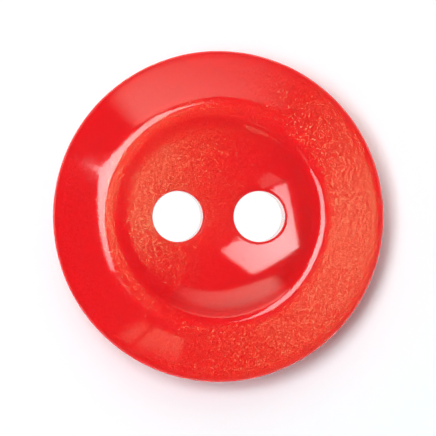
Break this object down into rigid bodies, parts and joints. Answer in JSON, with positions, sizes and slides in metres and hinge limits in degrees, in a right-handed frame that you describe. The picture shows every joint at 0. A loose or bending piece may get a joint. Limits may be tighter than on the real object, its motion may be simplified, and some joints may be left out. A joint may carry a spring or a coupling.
{
  "type": "sew-through button",
  "caption": "Round sew-through button with a sloping rim, a rounded crest ring, a dished well and sewing holes through the well.",
  "frame": {"origin": "centre of the flat back, which rests on the cloth", "axes": "+Z out of the face, +X through the centres of both sewing holes"},
  "size_m": [0.015, 0.015, 0.003],
  "materials": {
    "pearl_resin": "polished red resin with a fine pearl grain"
  },
  "bodies": {
    "root": {"button": "pearl_resin"}
  },
  "joints": []
}
